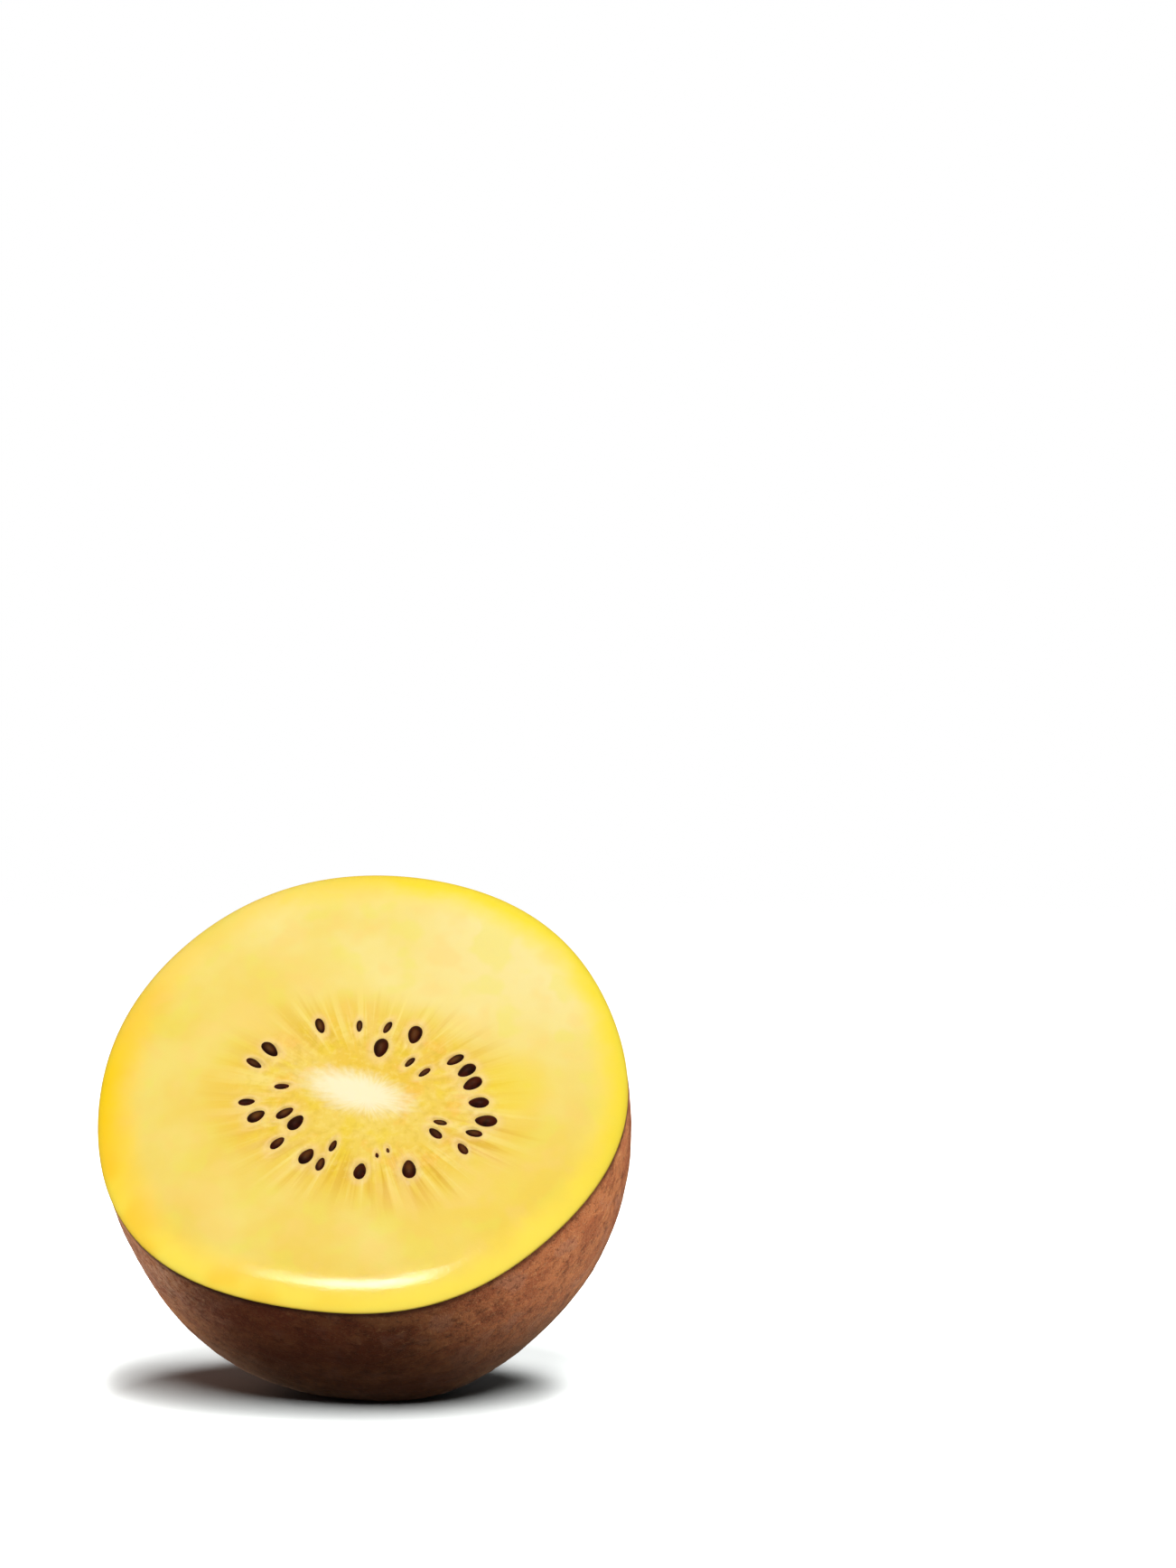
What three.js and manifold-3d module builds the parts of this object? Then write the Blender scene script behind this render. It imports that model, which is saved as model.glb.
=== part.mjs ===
// Half of a golden kiwi fruit, cut across its middle and lying on its skin, its cut face up and in front.
//
// Millimetres, +Z up. The origin is the middle of the small flat spot that the half rests on, and the cut
// face looks up and towards -Y. The fruit also has a frame of its own, in which the shapes below are made:
// its origin is the middle of the cut, +Z points out of the cut face along the fruit's axis, +X points to
// the right and +Y up the face. Bearings are degrees round that axis, from +X towards +Y.
//
// The half is two solids. The skin is a thin cup that ends in a low ring, where the fruit's stalk was. The
// flesh fills it: its cut face has a rounded edge, a pale core that stands a little proud, and thin ribs
// between the locules, with the seeds sunk in it, which are part of the same solid.

import * as THREE from "three";
import { mergeVertices } from "three/addons/utils/BufferGeometryUtils.js";
import Module from "manifold-3d";

const wasm = await Module();
wasm.setup();

// The fruit's body.
const FACE_RADIUS = 26; // mean radius of the section at the cut
const HALF_LENGTH = 38.4; // from the cut to the fruit's end, without the end ring
const FULLNESS = 2.15; // exponent of the superellipse that the body's profile follows; 2 is an ellipse
const FLATTENING = 0.02; // share by which a section is wider along LONG_BEARING, and narrower across it
const LONG_BEARING = 49;
const LUMPS = [
  // slow waves round the body: how many, how high as a share of the radius, and the bearing of a crest
  { count: 3, height: 0.012, crest: -24 },
  { count: 4, height: 0.006, crest: 36 },
  { count: 5, height: 0.006, crest: -2 },
  { count: 6, height: 0.006, crest: -13 },
];
const BOW = 0.9; // the fruit's axis bows this far towards +X, half way from the cut to the end

// How it lies.
const TILT = 49; // the fruit's axis leans this far from upright
const SPOT_DEPTH = 0.8; // how far the round body would reach below the surface if it weren't flattened
const SPOT_EASE = 0.12; // half the height over which the flat spot runs out into the round body

// The layers.
const SKIN_THICKNESS = 0.5;
const SKIN_GAP = 0.2; // clearance between skin and flesh
const RIM_DROP = 0.8; // how far the rounded edge of the face falls below the cut
const RIM_WIDTH = 4.4; // width of that rounded edge
const RIM_CURVE = 2.2; // exponent of its fall: the larger, the later it falls
const CAVITY_TOP = 2; // the skin's cavity runs this far past the cut

// The ring at the fruit's end.
const RING_RADIUS = 3.4;
const RING_HEIGHT = 0.6;
const RING_WIDTH = 1.1;
const RING_HOLLOW = 0.5; // depth of the scar inside the ring

// The core, an oval in the middle of the face.
const CORE = { x: -0.4, y: -0.3, halfLength: 5.7, halfWidth: 2.3, bearing: -18 };
const CORE_RISE = 0.35; // how far its middle stands over the face
const CORE_SLOPE = [0.2, 1.2]; // shares of the oval between which it slopes down to the face

// The locules, which lie round the core like spokes, and the oval that the outer row of seeds follows.
const LOCULES = 36;
const SEED_OVAL = { x: 0.7, y: -1.3, halfLength: 11.7, halfWidth: 8.6, bearing: -15 };
const RIB_RISE = 0.13; // how far the ribs stand over the locules
const RIB_FROM = [0.5, 0.85]; // shares of the seeds' oval between which the ribs rise
const RIB_TO = [1.05, 1.6]; // and between which they run out again

// The seeds that the cut shows, in one sign for each locule, from bearing 0 on: O is a plump seed, o a
// slimmer one, i one that is cut near its edge, a dot is only the tip of one, and - is none.
const SEED_ROWS = [
  { share: 1, signs: "OOOo--O-i-i-o--Oo-oO-o-Oo--O--O--ooO" },
  { share: 0.7, signs: "---i-i--O--------i-oO---i---..---oi-" },
];
const SEED_SIZES = {
  O: { length: 2.5, width: 1.75 },
  o: { length: 2.25, width: 1.25 },
  i: { length: 2, width: 0.95 },
  ".": { length: 1.2, width: 0.65 },
};
const SEED_FLATNESS = 0.68; // a seed's thickness as a share of its width
const SEED_SUNK = 0.06; // how far the middle of a seed lies under the face
const SEED_TAPER = 0.45; // how much narrower a seed is at the end that points to the core
const SEED_STRAY = { bearing: 2, share: 0.05, turn: 14, size: 0.08 }; // the most that a seed strays
const SEED_SIDES = 8;
const SEED_RINGS = 5;

// The mesh.
const SKIN_SIDES = 72;
const FLESH_SIDES = 4 * LOCULES;
const END_ROWS = [0, 1.2, 2.3, RING_RADIUS, 4.5, 5.8]; // radii of the rows round the fruit's end
const WALL_STEPS = 9; // rows from there to the cut
const EDGE_ROWS = [0.5, 1.2, 2, 3]; // rows on the face's rounded edge, measured in from the wall
const FACE_STEP = 1.7; // distance between the rows inside that edge

const radians = THREE.MathUtils.degToRad;
const smoothstep = THREE.MathUtils.smoothstep;

// The way up, in the fruit's frame.
const up = new THREE.Vector3(0, Math.sin(radians(TILT)), Math.cos(radians(TILT)));

// The lowest point of the leaning body, as a superellipse has it: how far below the middle of the cut, how
// far from the fruit's axis and how far along it.
const dual = FULLNESS / (FULLNESS - 1);
const reach = ((FACE_RADIUS * up.y) ** dual + (HALF_LENGTH * up.z) ** dual) ** (1 / dual);
const lowRadius = FACE_RADIUS * ((FACE_RADIUS * up.y) / reach) ** (dual - 1);
const lowLength = HALF_LENGTH * ((HALF_LENGTH * up.z) / reach) ** (dual - 1);

// The middle of the cut stands this high over the surface, and this far in front of the flat spot.
const cutHeight = reach - SPOT_DEPTH;
const cutForward = lowLength * up.y - lowRadius * up.z;

// A number from 0 to 1 that looks random and is the same in each run.
function draw(index, kind) {
  const wild = Math.sin(index * 12.9898 + kind * 78.233) * 43758.5453;
  return wild - Math.floor(wild);
}

// Moves each vertex of a geometry by move(point).
function reshape(geometry, move) {
  const position = geometry.getAttribute("position");
  const point = new THREE.Vector3();
  for (let i = 0; i < position.count; i++) {
    move(point.fromBufferAttribute(position, i));
    position.setXYZ(i, point.x, point.y, point.z);
  }
  return geometry;
}

function solidOf(geometry) {
  const bare = geometry.clone().deleteAttribute("normal").deleteAttribute("uv");
  const merged = mergeVertices(bare);
  return new wasm.Manifold(
    new wasm.Mesh({
      numProp: 3,
      vertProperties: Float32Array.from(merged.getAttribute("position").array),
      triVerts: Uint32Array.from(merged.index.array),
    }),
  );
}

function geometryOf(solid) {
  const { vertProperties, triVerts } = solid.getMesh();
  const geometry = new THREE.BufferGeometry();
  geometry.setAttribute("position", new THREE.BufferAttribute(vertProperties, 3));
  geometry.setIndex(new THREE.BufferAttribute(triVerts, 1));
  geometry.computeVertexNormals();
  return geometry;
}

// A solid of revolution about +Z, from [radius, height] points that start and end on the axis.
function turned(outline, sides) {
  const points = outline.map(([radius, height]) => new THREE.Vector2(radius, height));
  return new THREE.LatheGeometry(points, sides).rotateX(Math.PI / 2);
}

// How far an oval reaches from its middle at a bearing, in degrees.
function ovalRadius(oval, bearing) {
  const angle = radians(bearing - oval.bearing);
  return 1 / Math.hypot(Math.cos(angle) / oval.halfLength, Math.sin(angle) / oval.halfWidth);
}

// The bearing square to an oval's outline, where the outline has a bearing of its own from the middle.
function squareTo(oval, bearing) {
  const angle = radians(bearing - oval.bearing);
  const square = Math.atan2(Math.sin(angle) / oval.halfWidth ** 2, Math.cos(angle) / oval.halfLength ** 2);
  return oval.bearing + THREE.MathUtils.radToDeg(square);
}

// Where a point lies in an oval: its bearing, and its distance as a share of the oval's own radius there.
function placeIn(oval, x, y) {
  const bearing = THREE.MathUtils.radToDeg(Math.atan2(y - oval.y, x - oval.x));
  return { bearing, share: Math.hypot(x - oval.x, y - oval.y) / ovalRadius(oval, bearing) };
}

// How far the low ring and the scar inside it stand out of the fruit's end, at a distance from the axis.
function endRelief(radius) {
  const ring = RING_HEIGHT * Math.exp(-(((radius - RING_RADIUS) / RING_WIDTH) ** 2));
  return ring - RING_HOLLOW * (1 - smoothstep(radius, 0, RING_RADIUS));
}

// The outline of the body's wall, inset from its outside, from the fruit's end to a height near the cut.
function wallOutline(inset, topHeight) {
  const radius = FACE_RADIUS - inset;
  const length = HALF_LENGTH - inset;
  const outline = END_ROWS.map((row) => {
    const height = -length * (1 - (row / radius) ** FULLNESS) ** (1 / FULLNESS);
    return [row, height - endRelief(row)];
  });
  const firstAngle = Math.asin((END_ROWS.at(-1) / radius) ** (FULLNESS / 2));
  const lastAngle = Math.acos((-topHeight / length) ** (FULLNESS / 2));
  for (let i = 1; i <= WALL_STEPS; i++) {
    const angle = THREE.MathUtils.lerp(firstAngle, lastAngle, i / WALL_STEPS);
    outline.push([
      radius * Math.sin(angle) ** (2 / FULLNESS),
      -length * Math.cos(angle) ** (2 / FULLNESS),
    ]);
  }
  return outline;
}

// Gives a turned body its flattened, slightly lumpy section, its bow, and the flat spot that it lies on.
function likeFruit(geometry, inset) {
  return reshape(geometry, (point) => {
    const bearing = Math.atan2(point.y, point.x);
    let widening = 1 + FLATTENING * Math.cos(2 * (bearing - radians(LONG_BEARING)));
    for (const { count, height, crest } of LUMPS) {
      widening += height * Math.cos(count * (bearing - radians(crest)));
    }
    const depth = THREE.MathUtils.clamp(-point.z / HALF_LENGTH, 0, 1);
    point.x = point.x * widening + 4 * BOW * depth * (1 - depth);
    point.y *= widening;
    const height = point.dot(up) + cutHeight - inset;
    point.addScaledVector(up, settled(height) - height);
  });
}

// The height of a point of the body once the body has been flattened where it rests.
function settled(height) {
  if (height > SPOT_EASE) {
    return height;
  }
  return Math.max(height + SPOT_EASE, 0) ** 2 / (4 * SPOT_EASE);
}

function skinSolid() {
  const outside = wallOutline(0, -RIM_DROP);
  outside.push([0, -RIM_DROP]);
  const cavity = wallOutline(SKIN_THICKNESS, 0);
  const [cavityRadius] = cavity.at(-1);
  cavity.push([cavityRadius, CAVITY_TOP], [0, CAVITY_TOP]);
  const body = solidOf(likeFruit(turned(outside, SKIN_SIDES), 0));
  return body.subtract(solidOf(likeFruit(turned(cavity, SKIN_SIDES), SKIN_THICKNESS)));
}

// The height of the cut face over the plane of the cut, at a point of the face.
function faceHeight(x, y) {
  const inCore = placeIn(CORE, x, y).share;
  const core = CORE_RISE * (1 - smoothstep(inCore, ...CORE_SLOPE));
  const { bearing, share } = placeIn(SEED_OVAL, x, y);
  const spoke = (1 - Math.cos(radians(bearing * LOCULES))) / 2;
  const rib = smoothstep(share, ...RIB_FROM) * (1 - smoothstep(share, ...RIB_TO));
  return core + RIB_RISE * spoke * rib;
}

// How far the rounded edge of the face lies below the cut, at a distance from the axis.
function edgeFall(radius, edgeRadius) {
  const into = Math.max(radius - (edgeRadius - RIM_WIDTH), 0) / RIM_WIDTH;
  return RIM_DROP * into ** RIM_CURVE;
}

// The flesh without its seeds: the wall, then the face from its edge to the middle.
function fleshBody() {
  const inset = SKIN_THICKNESS + SKIN_GAP;
  const outline = wallOutline(inset, -RIM_DROP);
  const [edgeRadius] = outline.at(-1);
  const edgeRadii = EDGE_ROWS.map((width) => edgeRadius - width);
  const flatRadius = edgeRadius - RIM_WIDTH;
  const flatSteps = Math.round(flatRadius / FACE_STEP);
  const flatRadii = Array.from({ length: flatSteps }, (_, i) => (flatRadius * (flatSteps - i)) / flatSteps);
  for (const radius of [...edgeRadii, ...flatRadii, 0]) {
    outline.push([radius, -edgeFall(radius, edgeRadius)]);
  }
  const body = reshape(turned(outline, FLESH_SIDES), (point) => {
    if (point.z > -RIM_DROP) {
      point.z += faceHeight(point.x, point.y);
    }
  });
  return solidOf(likeFruit(body, inset));
}

// One seed, lying along +X with its narrow end towards -X.
function seedGeometry({ length, width }) {
  const round = new THREE.SphereGeometry(0.5, SEED_SIDES, SEED_RINGS).rotateZ(Math.PI / 2);
  return reshape(round, (point) => {
    const across = width * (1 - SEED_TAPER * (0.5 - point.x) ** 1.5);
    point.set(point.x * length, point.y * across, point.z * across * SEED_FLATNESS);
  });
}

// The seeds, each in its locule, with their narrow ends to the core.
function seedSolids() {
  const solids = [];
  SEED_ROWS.forEach(({ share, signs }, row) => {
    [...signs].forEach((sign, locule) => {
      if (!(sign in SEED_SIZES)) {
        return;
      }
      const stray = (kind, most) => (2 * draw(locule, 4 * row + kind) - 1) * most;
      const bearing = (360 * locule) / LOCULES + stray(1, SEED_STRAY.bearing);
      const distance = (share + stray(2, SEED_STRAY.share)) * ovalRadius(SEED_OVAL, bearing);
      const x = SEED_OVAL.x + distance * Math.cos(radians(bearing));
      const y = SEED_OVAL.y + distance * Math.sin(radians(bearing));
      const size = 1 + stray(3, SEED_STRAY.size);
      const seed = seedGeometry(SEED_SIZES[sign]);
      seed.scale(size, size, size);
      seed.rotateZ(radians(squareTo(SEED_OVAL, bearing) + stray(4, SEED_STRAY.turn)));
      seed.translate(x, y, faceHeight(x, y) - SEED_SUNK);
      solids.push(solidOf(seed));
    });
  });
  return solids;
}

function fleshSolid() {
  return seedSolids().reduce((flesh, seed) => flesh.add(seed), fleshBody());
}

function part(name, solid, color, roughness) {
  const material = new THREE.MeshStandardMaterial({ color, roughness, metalness: 0 });
  const mesh = new THREE.Mesh(geometryOf(solid), material);
  mesh.name = name;
  return mesh;
}

const fruit = new THREE.Group();
fruit.add(part("skin", skinSolid(), 0x8a5a34, 0.7));
fruit.add(part("flesh", fleshSolid(), 0xf5d44e, 0.25));
fruit.rotation.x = radians(TILT);
fruit.position.set(0, -cutForward, cutHeight);

const half = new THREE.Group();
half.add(fruit);

export default half;
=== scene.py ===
"""The looks of half a golden kiwi fruit, which lies on its skin with the cut face up and in front.

The fruit's shapes are made in a frame of its own, in millimetres, as the part's source makes its solids: the
origin is the middle of the cut, +Z points out of the cut face along the fruit's axis, +X to the right and +Y
up the face. to_row() then tilts them into the row frame, in metres. Bearings are degrees round the fruit's
axis, from +X towards +Y.
"""

import math

import bpy
import numpy as np
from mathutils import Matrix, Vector, noise


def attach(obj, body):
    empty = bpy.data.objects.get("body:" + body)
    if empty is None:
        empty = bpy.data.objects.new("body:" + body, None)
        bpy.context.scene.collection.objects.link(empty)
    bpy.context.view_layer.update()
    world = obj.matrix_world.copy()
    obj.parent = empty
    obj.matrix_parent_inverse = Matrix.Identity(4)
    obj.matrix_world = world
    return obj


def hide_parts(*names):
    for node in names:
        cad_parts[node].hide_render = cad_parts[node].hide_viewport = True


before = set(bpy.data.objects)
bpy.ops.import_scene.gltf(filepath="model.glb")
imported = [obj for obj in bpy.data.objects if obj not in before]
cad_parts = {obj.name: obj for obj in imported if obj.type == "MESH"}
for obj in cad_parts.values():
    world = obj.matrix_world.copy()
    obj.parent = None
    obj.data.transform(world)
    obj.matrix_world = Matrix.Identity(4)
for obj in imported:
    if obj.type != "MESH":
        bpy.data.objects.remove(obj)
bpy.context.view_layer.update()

# ---------------------------------------------------------------------------------------------------------
# The fruit's form, in millimetres. The solids have the same, but their core is higher and steeper, their ribs
# are higher, and their seeds lie less deep.

FACE_RADIUS = 26.0  # mean radius of the section at the cut
HALF_LENGTH = 38.4  # from the cut to the fruit's end, without the end ring
FULLNESS = 2.15  # exponent of the superellipse that the body's profile follows
FLATTENING = 0.02  # share by which a section is wider along LONG_BEARING, and narrower across it
LONG_BEARING = 49.0
# Slow waves round the body: how many, how high as a share of the radius, and the bearing of a crest.
WAVES = [(3, 0.012, -24.0), (4, 0.006, 36.0), (5, 0.006, -2.0), (6, 0.006, -13.0)]
BOW = 0.9  # the fruit's axis bows this far towards +X, half way from the cut to the end

TILT = math.radians(49.0)  # the fruit's axis leans this far from upright
SPOT_DEPTH = 0.8  # how far the round body would reach below the surface if it weren't flattened
SPOT_EASE = 0.12  # half the height over which the flat spot runs out into the round body

RIM_DROP = 0.8  # how far the rounded edge of the face falls below the cut

# The low ring at the fruit's end, with a scar inside it.
RING_RADIUS = 3.4
RING_HEIGHT = 0.6
RING_WIDTH = 1.1
RING_HOLLOW = 0.5  # depth of the scar

# The core, an oval in the middle of the face.
CORE = {"x": -0.4, "y": -0.3, "half_length": 5.7, "half_width": 2.3, "bearing": -18.0}
CORE_RISE = 0.12  # how far its middle stands over the face
CORE_SLOPE = (0.0, 1.5)  # shares of the oval between which it slopes down to the face

# The locules, which lie round the core like spokes, and the oval that the outer row of seeds follows.
LOCULES = 36
SEED_OVAL = {"x": 0.7, "y": -1.3, "half_length": 11.7, "half_width": 8.6, "bearing": -15.0}
RIB_RISE = 0.05  # how far the ribs stand over the locules
RIB_FROM = (0.5, 0.85)  # shares of the seeds' oval between which the ribs rise
RIB_TO = (1.05, 1.6)  # and between which they run out again

# The seeds that the cut shows: a share of their oval, then one sign for each locule, from bearing 0 on. O is
# a plump seed, o a slimmer one, i one that is cut near its edge, a dot is only a tip, and - is none.
SEED_ROWS = [(1.0, "OOOo--O-i-i-o--Oo-oO-o-Oo--O--O--ooO"), (0.7, "---i-i--O--------i-oO---i---..---oi-")]
SEED_SIZES = {"O": (2.5, 1.75), "o": (2.25, 1.25), "i": (2.0, 0.95), ".": (1.2, 0.65)}  # length and width
SEED_FLATNESS = 0.68  # a seed's thickness as a share of its width
SEED_SUNK = 0.24  # how far the middle of a seed lies under the face
SEED_TAPER, TAPER_CURVE = 0.45, 1.5  # how much narrower a seed is at the end that points to the core
STRAY_BEARING = 2.0  # the most that a seed strays: in degrees,
STRAY_SHARE = 0.05  # in shares of the oval,
STRAY_TURN = 14.0  # in degrees that it turns,
STRAY_SIZE = 0.08  # and in shares of its size

# ---------------------------------------------------------------------------------------------------------
# What only the looks have, in millimetres.

PEEL = 0.25  # thickness of the skin
RIM_SHARES = [0.15, 0.5, 0.85]  # where the rows of its rounded rim lie, as shares of that thickness
RIM_ROUNDING = 0.3  # height of that rounding, as a share of it
SKIN_SWELLS = [(0.1, 7.0), (0.045, 1.5), (0.03, 0.7)]  # the skin's unevenness: height, and size of its lumps
SWELL_FADE_ROWS = 12  # rows below the rim over which it runs out
RING_WAVES, RING_UNEVENNESS = 5, 0.12  # waves in the height of the ring at its end, and their share of that
# The scar is puckered: how high and how many folds, how they sway, and the radius and width of their ring.
PUCKER = {"height": 0.05, "folds": 17, "sway": 2, "sways": 3, "radius": 2.4, "width": 1.3}
SCAR_SHADE = (1.6, 4.6)  # radii between which the scar's dark colour fades
CUT_SHADE = (1.0, 0.1)  # depths below the skin's rim between which painted shade darkens it, a dark line where the flesh meets it

PULP_INSET = 0.3  # how far the flesh's wall lies inside the skin's outside
LIP = [(0.12, 0.04), (-0.02, 0.1), (-0.06, 0.18), (-0.05, 0.28)]  # the flesh swells over the rim: inset, rise
EDGE_WIDTH = 5.6  # width of the face's rounded edge
EDGE_CURVE = 2.4  # exponent of its fall
FACE_SWELLS = [(0.015, 12.0), (0.004, 1.2)]  # the face's unevenness: height, and size of its lumps

# Round a seed, distances are shares of the way from its middle to its outline.
HOLLOW_DEPTH, HOLLOW_WALL = 0.12, (0.5, 1.0)  # the hollow that it lies in
SWELL_HEIGHT, SWELL_PLACE, SWELL_WIDTH = 0.05, 1.1, 0.3  # the low swell round that
HALO_WIDTH = 0.45  # the pale pulp outside its outline
MIDDLE_FADE = (0.1, 0.75)  # where its lighter middle fades, partly the coat's own colour and partly a painted glint
MIDDLE_BREADTH = 0.9  # how broad that is, as a share of its length
MIDDLE_PALENESS = 0.5  # how pale it is at a mean, and how much that varies

# How fine the meshes are.
SKIN_ROWS, SKIN_SIDES, INSIDE_ROWS = 186, 400, 14
WALL_ROWS, FACE_ROWS, FLESH_SIDES = 14, 120, 480
ROW_SPREAD = 1.15  # above 1, the face's rows lie closer to each other at its edge
SEED_RINGS, SEED_SIDES = 14, 24

# ---------------------------------------------------------------------------------------------------------
# Colours and patterns. Colours are as a screen shows them, from 0 to 255.
#
# A noise has the coordinates that it follows, how these are stretched, its lumps to a unit, its detail and
# its roughness. It runs from 0 to 1, and mostly lies between 0.3 and 0.7. Coordinates are "place", in
# millimetres in the fruit's frame, and "spoke", which follows the fibres out from the core.
#
# A layer of colour has a strength, a colour, and the measures that it depends on: noises, attributes of the
# mesh, and what the material's function works out. It comes in as a measure goes from the first number to the
# second, or follows the measure itself where no numbers are given. "share" is the distance from the middle of
# the seeds' oval, as a share of its radius there.

EVEN = (1, 1, 1)
IN_FACE = (1, 1, 0)

FLESH_NOISES = {
    "clouds": ("place", EVEN, 0.11, 3.0, 0.5),
    "tints": ("place", IN_FACE, 0.2, 2.0, 0.5),
    "rust": ("place", EVEN, 0.13, 1.5, 0.5),
    "rags": ("place", EVEN, 0.22, 3.0, 0.5),
    "stains": ("place", IN_FACE, 0.3, 2.0, 0.5),
    "specks": ("place", EVEN, 1.3, 2.0, 0.5),
    "grain": ("place", EVEN, 2.6, 3.0, 0.6),
    "fibres": ("spoke", (13, 13, 0.6), 1.0, 2.5, 0.6),
    "bands": ("spoke", (6, 6, 0.4), 1.0, 1.0, 0.5),
    "frays": ("spoke", EVEN, 9.0, 3.0, 0.5),
}
# How far a point lies to the right, up the face, up and somewhat right, and right and somewhat up.
FLESH_DIRECTIONS = {"side": (1, 0, 0), "height": (0, 1, 0), "raised": (0.45, 0.8, 0), "slant": (1, 0.3, 0)}
FLESH_SPOTS = {"glow": (15.0, 0.5, 0.0)}

CLOUDS = ("clouds", 0.35, 0.65)  # clouds vary three of the flesh's colours between two tones
LOW_TONES = [(226, 196, 88), (228, 206, 108)]
HIGH_TONES = [(228, 204, 108), (230, 212, 132)]
INNER_TONES = [(224, 184, 60), (226, 195, 84)]
RAISED = ("raised", -1, 13)  # from the low tones to the high ones
INNER_STRENGTH, INNER = 0.85, ("share", 1.6, 1.05)  # and from these to the inner ones, round the seeds

PALE_LAYERS = [
    (0.75, (232, 215, 148), [("side", -2, 12), ("height", 2, 14)]),  # paler at the upper right
    (0.6, (228, 196, 72), [("side", 2, 16), ("height", 2, -12)]),  # deeper at the lower right
    (0.3, (234, 196, 112), [("tints", 0.52, 0.64)]),  # a touch of orange
    (0.3, (222, 212, 84), [("tints", 0.48, 0.38)]),  # a touch of green
]

EDGE_COLOR = (245, 198, 26)
EDGE_LAYERS = [
    (1.0, (237, 209, 60), [("side", -20, 16)]),  # less orange towards the right
    (1.0, (248, 219, 84), [("height", -2, -20)]),  # brighter in front: partly a paler colour, partly painted light on the front edge
    (0.75, (228, 198, 78), [("height", 0, 16), ("slant", 14, 0)]),  # duller at the upper left
    (0.6, (248, 188, 40), [("rust", 0.42, 0.62), ("side", 6, -14)]),  # orange patches at the left
]
# The edge's colour starts at a ragged line, which lies a little further out on the right. Shares of the
# face's radius: how ragged it is, how much further out, and where the colour comes in.
RAGGEDNESS = 0.1
RIGHT_SHIFT, RIGHT = 0.02, ("side", 4, 20)
LOW_EDGE = [("ragged", 0.86, 1.03), ("height", 16, 0)]
TOP_EDGE = [("ragged", 0.88, 1.05), ("height", 0, 16)]
TOP_EDGE_STRENGTH, TOP_RIGHT = (0.5, 1.1), ("slant", -12, 14)  # from the left to the right of the top
RIM_LAYERS = [(0.35, (232, 178, 50), [("rim", 0.985, 1.0)])]  # amber where the flesh meets the skin

FIBRE_REACH = [("share", 0.6, 0.95), ("share", 1.65, 1.05)]  # fibres show in a ring over the seeds
FIBRE_STRENGTH, NOT_LEFT = (0.45, 1.0), ("side", -14, -5)  # fibres are fainter on the left
DARK_STRENGTH, LOWER_RIGHT = (0.42, 0.77), [("side", -6, 5), ("height", -2, -8)]  # dark ones are strong here
INSIDE = ("share", 1.3, 0.9)  # inside that ring, stains and specks show
CORE_FRAYING = 0.7  # how far fibres fray the core's outline, as a share of its size

FACE_LAYERS = [
    (0.5, (232, 178, 70), [("stains", 0.54, 0.66), INSIDE]),  # orange stains between the seeds
    (0.5, (226, 196, 44), [("stains", 0.46, 0.36), INSIDE]),  # and yellow ones
    (0.5, (236, 218, 128), [("fibres", 0.52, 0.64), ("visible",)]),  # bright fibres
    (1.0, (210, 164, 44), [("fibres", 0.47, 0.36), ("visible",), ("darkness",)]),  # dark fibres
    (0.3, (232, 190, 110), [("bands", 0.54, 0.66), ("reach",)]),  # rosy bands along the fibres
    (0.6, (228, 200, 46), [("glow", 5.5, 1.5)]),  # a deeper yellow spot to the right of the seeds
    (0.55, (234, 200, 136), [("halo",)]),  # pale pulp close round each seed
    (0.25, (202, 166, 44), [("specks", 0.53, 0.66), INSIDE]),  # dark specks
    (0.25, (236, 214, 118), [("specks", 0.46, 0.36), INSIDE]),  # light specks
    (1.0, (234, 224, 184), [("frayed", 1.72, 0.72)]),  # the cream core
]
WET_EDGE, FLESH_ROUGHNESS = ("rim", 0.66, 0.86), (0.26, 0.07)  # the face is glossier at its edge

SKIN_NOISES = {
    "patches": ("place", EVEN, 0.16, 4.0, 0.65),
    "reds": ("place", (1, 1, 1.3), 0.3, 3.0, 0.6),
    "rosy": ("place", (1.2, 1, 1), 0.24, 3.0, 0.5),
    "smudges": ("place", EVEN, 0.55, 4.0, 0.7),
    "grains": ("place", EVEN, 1.6, 4.0, 0.7),
    "fine": ("place", EVEN, 5.5, 2.0, 0.5),
}
SKIN_SPOTS = {"cheek": (17.0, -17.0, -9.0), "flush": (-8.0, -23.0, -7.0), "frost": (-21.0, -15.0, -3.0)}
SKIN_COLOR = (130, 68, 40)
SKIN_LAYERS = [
    (1.0, (168, 104, 63), [("patches", 0.4, 0.6)]),  # lighter patches
    (0.6, (214, 130, 82), [("cheek", 18, 4)]),  # painted light: lighter on the right, where the light falls
    (0.5, (146, 74, 46), [("reds", 0.49, 0.6)]),
    (0.45, (168, 114, 90), [("rosy", 0.54, 0.64)]),
    (0.5, (88, 42, 25), [("smudges", 0.47, 0.35)]),
    (0.5, (74, 34, 16), [("grains", 0.48, 0.34)]),  # dark grains
    (0.45, (204, 148, 100), [("grains", 0.55, 0.7)]),  # light grains
    (0.3, (214, 168, 120), [("fine", 0.56, 0.7)]),  # fine light dots
    (0.35, (128, 48, 28), [("flush", 13, 4)]),  # a redder spot in front
    (0.42, (190, 154, 130), [("frost", 15, 3), ("grains", 0.36, 0.64)]),  # painted sheen: pale grey specks near the left edge
    (0.55, (66, 32, 12), [("level", -20, -27)]),  # painted shade: darker underneath, towards the floor
    (0.8, (66, 40, 24), [("end",)]),  # the scar
    (0.75, (46, 20, 6), [("cut",)]),  # painted shade: a dark line under the rim, where the flesh meets the skin
]
SKIN_ROUGHNESS = (0.5, 0.8)  # between grains and on them

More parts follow.
